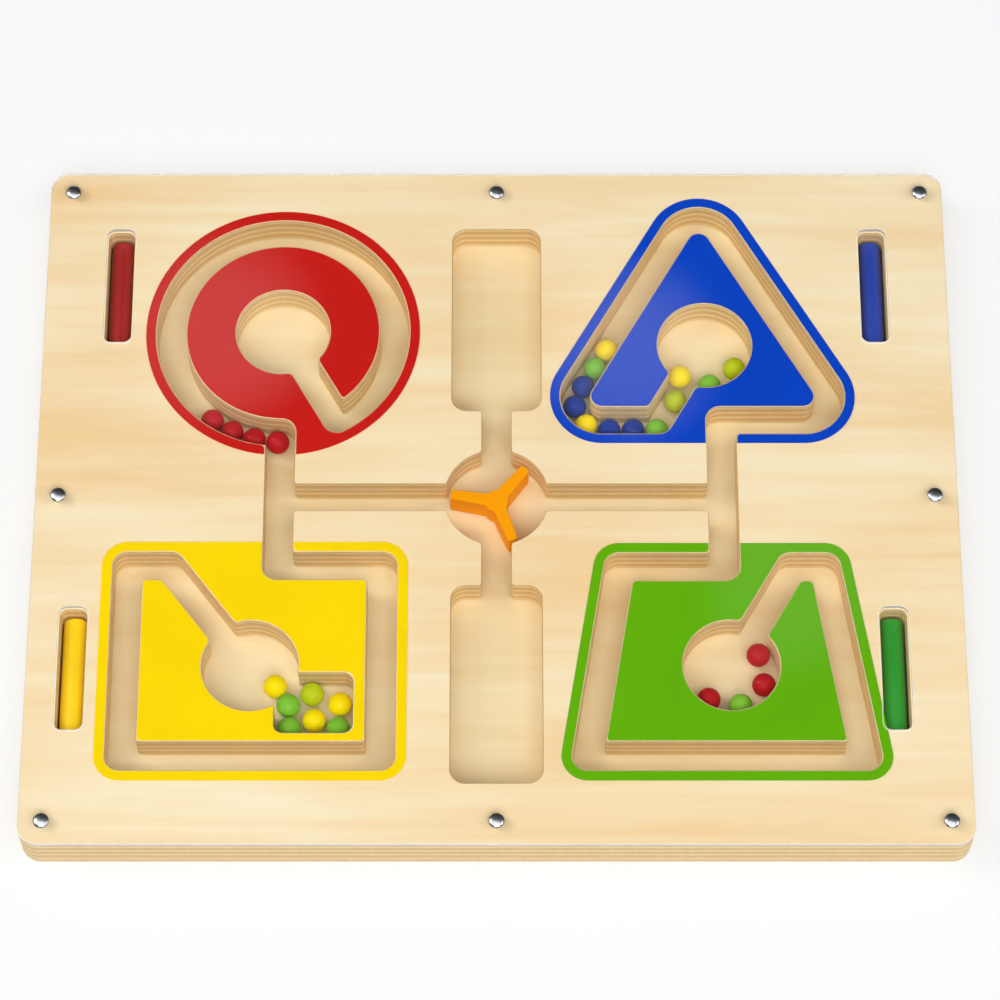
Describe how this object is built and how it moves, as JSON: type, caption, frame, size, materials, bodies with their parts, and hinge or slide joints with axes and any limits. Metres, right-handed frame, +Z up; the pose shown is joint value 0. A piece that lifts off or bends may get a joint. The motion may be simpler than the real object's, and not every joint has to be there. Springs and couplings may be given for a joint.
{
  "type": "magnetic maze board",
  "caption": "Wooden maze board with painted shapes, captive coloured balls under a clear cover, a centre spinner and lift-out magnet wands.",
  "frame": {"origin": "middle of the board's underside", "axes": "+X along the board's length, to the right with the circle at the upper left; +Y across it, towards the circle and the triangle; +Z up out of the cover"},
  "size_m": [0.375, 0.3, 0.0221],
  "materials": {
    "backing_wood": "bare, sanded",
    "plywood": "birch plywood, clear lacquer",
    "clear_sheet": "clear polished sheet",
    "orange_paint": "painted, satin",
    "steel": "bright zinc",
    "magnet_metal": "nickel plate",
    "red_paint": "smooth gloss paint",
    "red_wand_paint": "gloss paint on a dowel",
    "red_ball_paint": "gloss enamel",
    "blue_paint": "smooth gloss paint",
    "blue_wand_paint": "gloss paint on a dowel",
    "blue_ball_paint": "gloss enamel",
    "yellow_paint": "smooth gloss paint",
    "yellow_wand_paint": "gloss paint on a dowel",
    "yellow_ball_paint": "gloss enamel",
    "green_paint": "smooth gloss paint",
    "green_wand_paint": "gloss paint on a dowel",
    "green_ball_paint": "gloss enamel"
  },
  "bodies": {
    "board": {"base_board": "backing_wood", "maze_layer": "plywood", "clear_cover": "clear_sheet", "spinner_pin": "steel", "cover_screw_1": "steel", "cover_screw_2": "steel", "cover_screw_3": "steel", "cover_screw_4": "steel", "cover_screw_5": "steel", "cover_screw_6": "steel", "cover_screw_7": "steel", "cover_screw_8": "steel", "blue_face": "blue_paint", "green_face": "green_paint", "red_face": "red_paint", "yellow_face": "yellow_paint"},
    "spinner": {"spinner": "orange_paint"},
    "red_wand": {"red_wand": "red_wand_paint", "red_wand_magnet": "magnet_metal"},
    "blue_wand": {"blue_wand": "blue_wand_paint", "blue_wand_magnet": "magnet_metal"},
    "yellow_wand": {"yellow_wand": "yellow_wand_paint", "yellow_wand_magnet": "magnet_metal"},
    "green_wand": {"green_wand": "green_wand_paint", "green_wand_magnet": "magnet_metal"},
    "circle_ball_1": {"circle_ball_1": "red_ball_paint"},
    "circle_ball_2": {"circle_ball_2": "red_ball_paint"},
    "circle_ball_3": {"circle_ball_3": "red_ball_paint"},
    "circle_ball_4": {"circle_ball_4": "red_ball_paint"},
    "triangle_row_ball_1": {"triangle_row_ball_1": "green_ball_paint"},
    "triangle_row_ball_2": {"triangle_row_ball_2": "blue_ball_paint"},
    "triangle_row_ball_3": {"triangle_row_ball_3": "blue_ball_paint"},
    "triangle_row_ball_4": {"triangle_row_ball_4": "yellow_ball_paint"},
    "triangle_row_ball_5": {"triangle_row_ball_5": "blue_ball_paint"},
    "triangle_row_ball_8": {"triangle_row_ball_8": "yellow_ball_paint"},
    "triangle_row_ball_7": {"triangle_row_ball_7": "green_ball_paint"},
    "triangle_row_ball_6": {"triangle_row_ball_6": "blue_ball_paint"},
    "triangle_spoke_ball": {"triangle_spoke_ball": "green_ball_paint"},
    "triangle_hole_ball_1": {"triangle_hole_ball_1": "yellow_ball_paint"},
    "triangle_hole_ball_2": {"triangle_hole_ball_2": "green_ball_paint"},
    "triangle_hole_ball_3": {"triangle_hole_ball_3": "green_ball_paint"},
    "square_ball_1": {"square_ball_1": "yellow_ball_paint"},
    "square_ball_2": {"square_ball_2": "green_ball_paint"},
    "square_ball_3": {"square_ball_3": "green_ball_paint"},
    "square_ball_4": {"square_ball_4": "yellow_ball_paint"},
    "square_ball_5": {"square_ball_5": "yellow_ball_paint"},
    "square_ball_6": {"square_ball_6": "green_ball_paint"},
    "square_ball_7": {"square_ball_7": "green_ball_paint"},
    "trapezoid_ball_1": {"trapezoid_ball_1": "red_ball_paint"},
    "trapezoid_ball_2": {"trapezoid_ball_2": "red_ball_paint"},
    "trapezoid_ball_3": {"trapezoid_ball_3": "green_ball_paint"},
    "trapezoid_ball_4": {"trapezoid_ball_4": "red_ball_paint"}
  },
  "joints": [
    {"name": "spinner_turn", "type": "hinge", "parent": "board", "child": "spinner", "pos_m": [0, 0, 0.00895], "axis": [0, 0, 1], "continuous": true},
    {"name": "red_wand_lift", "type": "slide", "parent": "board", "child": "red_wand", "axis": [0, 0, 1], "range_m": [0, 0.03]},
    {"name": "blue_wand_lift", "type": "slide", "parent": "board", "child": "blue_wand", "axis": [0, 0, 1], "range_m": [0, 0.03]},
    {"name": "yellow_wand_lift", "type": "slide", "parent": "board", "child": "yellow_wand", "axis": [0, 0, 1], "range_m": [0, 0.03]},
    {"name": "green_wand_lift", "type": "slide", "parent": "board", "child": "green_wand", "axis": [0, 0, 1], "range_m": [0, 0.03]},
    {"name": "circle_ball_1_roll", "type": "hinge", "parent": "board", "child": "circle_ball_1", "pos_m": [-0.0884, 0.07551, 0.00805], "axis": [0, 0, 1], "range_deg": [-288, 0]},
    {"name": "circle_ball_2_roll", "type": "hinge", "parent": "board", "child": "circle_ball_2", "pos_m": [-0.0884, 0.07551, 0.00805], "axis": [0, 0, 1], "range_deg": [-288, 0]},
    {"name": "circle_ball_3_roll", "type": "hinge", "parent": "board", "child": "circle_ball_3", "pos_m": [-0.0884, 0.07551, 0.00805], "axis": [0, 0, 1], "range_deg": [-288, 0]},
    {"name": "circle_ball_4_roll", "type": "hinge", "parent": "board", "child": "circle_ball_4", "pos_m": [-0.0884, 0.07551, 0.00805], "axis": [0, 0, 1], "range_deg": [-288, 0]},
    {"name": "triangle_row_ball_1_lift", "type": "slide", "parent": "board", "child": "triangle_row_ball_1", "axis": [0, 0, 1], "range_m": [0, 0.0051]},
    {"name": "triangle_row_ball_2_lift", "type": "slide", "parent": "board", "child": "triangle_row_ball_2", "axis": [0, 0, 1], "range_m": [0, 0.0051]},
    {"name": "triangle_row_ball_3_lift", "type": "slide", "parent": "board", "child": "triangle_row_ball_3", "axis": [0, 0, 1], "range_m": [0, 0.0051]},
    {"name": "triangle_row_ball_4_lift", "type": "slide", "parent": "board", "child": "triangle_row_ball_4", "axis": [0, 0, 1], "range_m": [0, 0.0051]},
    {"name": "triangle_row_ball_5_lift", "type": "slide", "parent": "board", "child": "triangle_row_ball_5", "axis": [0, 0, 1], "range_m": [0, 0.0051]},
    {"name": "triangle_row_ball_8_roll", "type": "slide", "parent": "board", "child": "triangle_row_ball_8", "axis": [0.5, 0.866, 0], "range_m": [0, 0.058]},
    {"name": "triangle_row_ball_7_roll", "type": "slide", "parent": "board", "child": "triangle_row_ball_7", "axis": [0.5, 0.866, 0], "range_m": [0, 0.058]},
    {"name": "triangle_row_ball_6_roll", "type": "slide", "parent": "board", "child": "triangle_row_ball_6", "axis": [0.5, 0.866, 0], "range_m": [0, 0.058]},
    {"name": "triangle_spoke_ball_roll", "type": "slide", "parent": "board", "child": "triangle_spoke_ball", "axis": [0.5, 0.866, 0], "range_m": [-0.005, 0]},
    {"name": "triangle_hole_ball_1_roll", "type": "hinge", "parent": "board", "child": "triangle_hole_ball_1", "pos_m": [0.08604, 0.06931, 0.00805], "axis": [0, 0, 1], "continuous": true},
    {"name": "triangle_hole_ball_2_roll", "type": "hinge", "parent": "triangle_hole_ball_1", "child": "triangle_hole_ball_2", "pos_m": [0.08604, 0.06931, 0.00805], "axis": [0, 0, 1], "range_deg": [-13.9, 13.9]},
    {"name": "triangle_hole_ball_3_roll", "type": "hinge", "parent": "triangle_hole_ball_2", "child": "triangle_hole_ball_3", "pos_m": [0.08604, 0.06931, 0.00805], "axis": [0, 0, 1], "range_deg": [-13.9, 13.9]},
    {"name": "square_ball_1_roll", "type": "slide", "parent": "board", "child": "square_ball_1", "axis": [-1, 0, 0], "range_m": [0, 0.02]},
    {"name": "square_ball_2_lift", "type": "slide", "parent": "board", "child": "square_ball_2", "axis": [0, 0, 1], "range_m": [0, 0.0051]},
    {"name": "square_ball_3_lift", "type": "slide", "parent": "board", "child": "square_ball_3", "axis": [0, 0, 1], "range_m": [0, 0.0051]},
    {"name": "square_ball_4_lift", "type": "slide", "parent": "board", "child": "square_ball_4", "axis": [0, 0, 1], "range_m": [0, 0.0051]},
    {"name": "square_ball_5_lift", "type": "slide", "parent": "board", "child": "square_ball_5", "axis": [0, 0, 1], "range_m": [0, 0.0051]},
    {"name": "square_ball_6_lift", "type": "slide", "parent": "board", "child": "square_ball_6", "axis": [0, 0, 1], "range_m": [0, 0.0051]},
    {"name": "square_ball_7_lift", "type": "slide", "parent": "board", "child": "square_ball_7", "axis": [0, 0, 1], "range_m": [0, 0.0051]},
    {"name": "trapezoid_ball_1_roll", "type": "hinge", "parent": "board", "child": "trapezoid_ball_1", "pos_m": [0.0937, -0.07379, 0.00805], "axis": [0, 0, 1], "continuous": true},
    {"name": "trapezoid_ball_2_roll", "type": "hinge", "parent": "trapezoid_ball_1", "child": "trapezoid_ball_2", "pos_m": [0.0937, -0.07379, 0.00805], "axis": [0, 0, 1], "range_deg": [-13.9, 13.9]},
    {"name": "trapezoid_ball_3_roll", "type": "hinge", "parent": "trapezoid_ball_2", "child": "trapezoid_ball_3", "pos_m": [0.0937, -0.07379, 0.00805], "axis": [0, 0, 1], "range_deg": [-13.9, 13.9]},
    {"name": "trapezoid_ball_4_roll", "type": "hinge", "parent": "trapezoid_ball_3", "child": "trapezoid_ball_4", "pos_m": [0.0937, -0.07379, 0.00805], "axis": [0, 0, 1], "range_deg": [-13.9, 13.9]}
  ],
  "couplings": [
    {"joint": "circle_ball_2_roll", "follows": "circle_ball_1_roll", "ratio": 1},
    {"joint": "circle_ball_3_roll", "follows": "circle_ball_1_roll", "ratio": 1},
    {"joint": "circle_ball_4_roll", "follows": "circle_ball_1_roll", "ratio": 1},
    {"joint": "triangle_row_ball_7_roll", "follows": "triangle_row_ball_8_roll", "ratio": 1},
    {"joint": "triangle_row_ball_6_roll", "follows": "triangle_row_ball_8_roll", "ratio": 1}
  ]
}
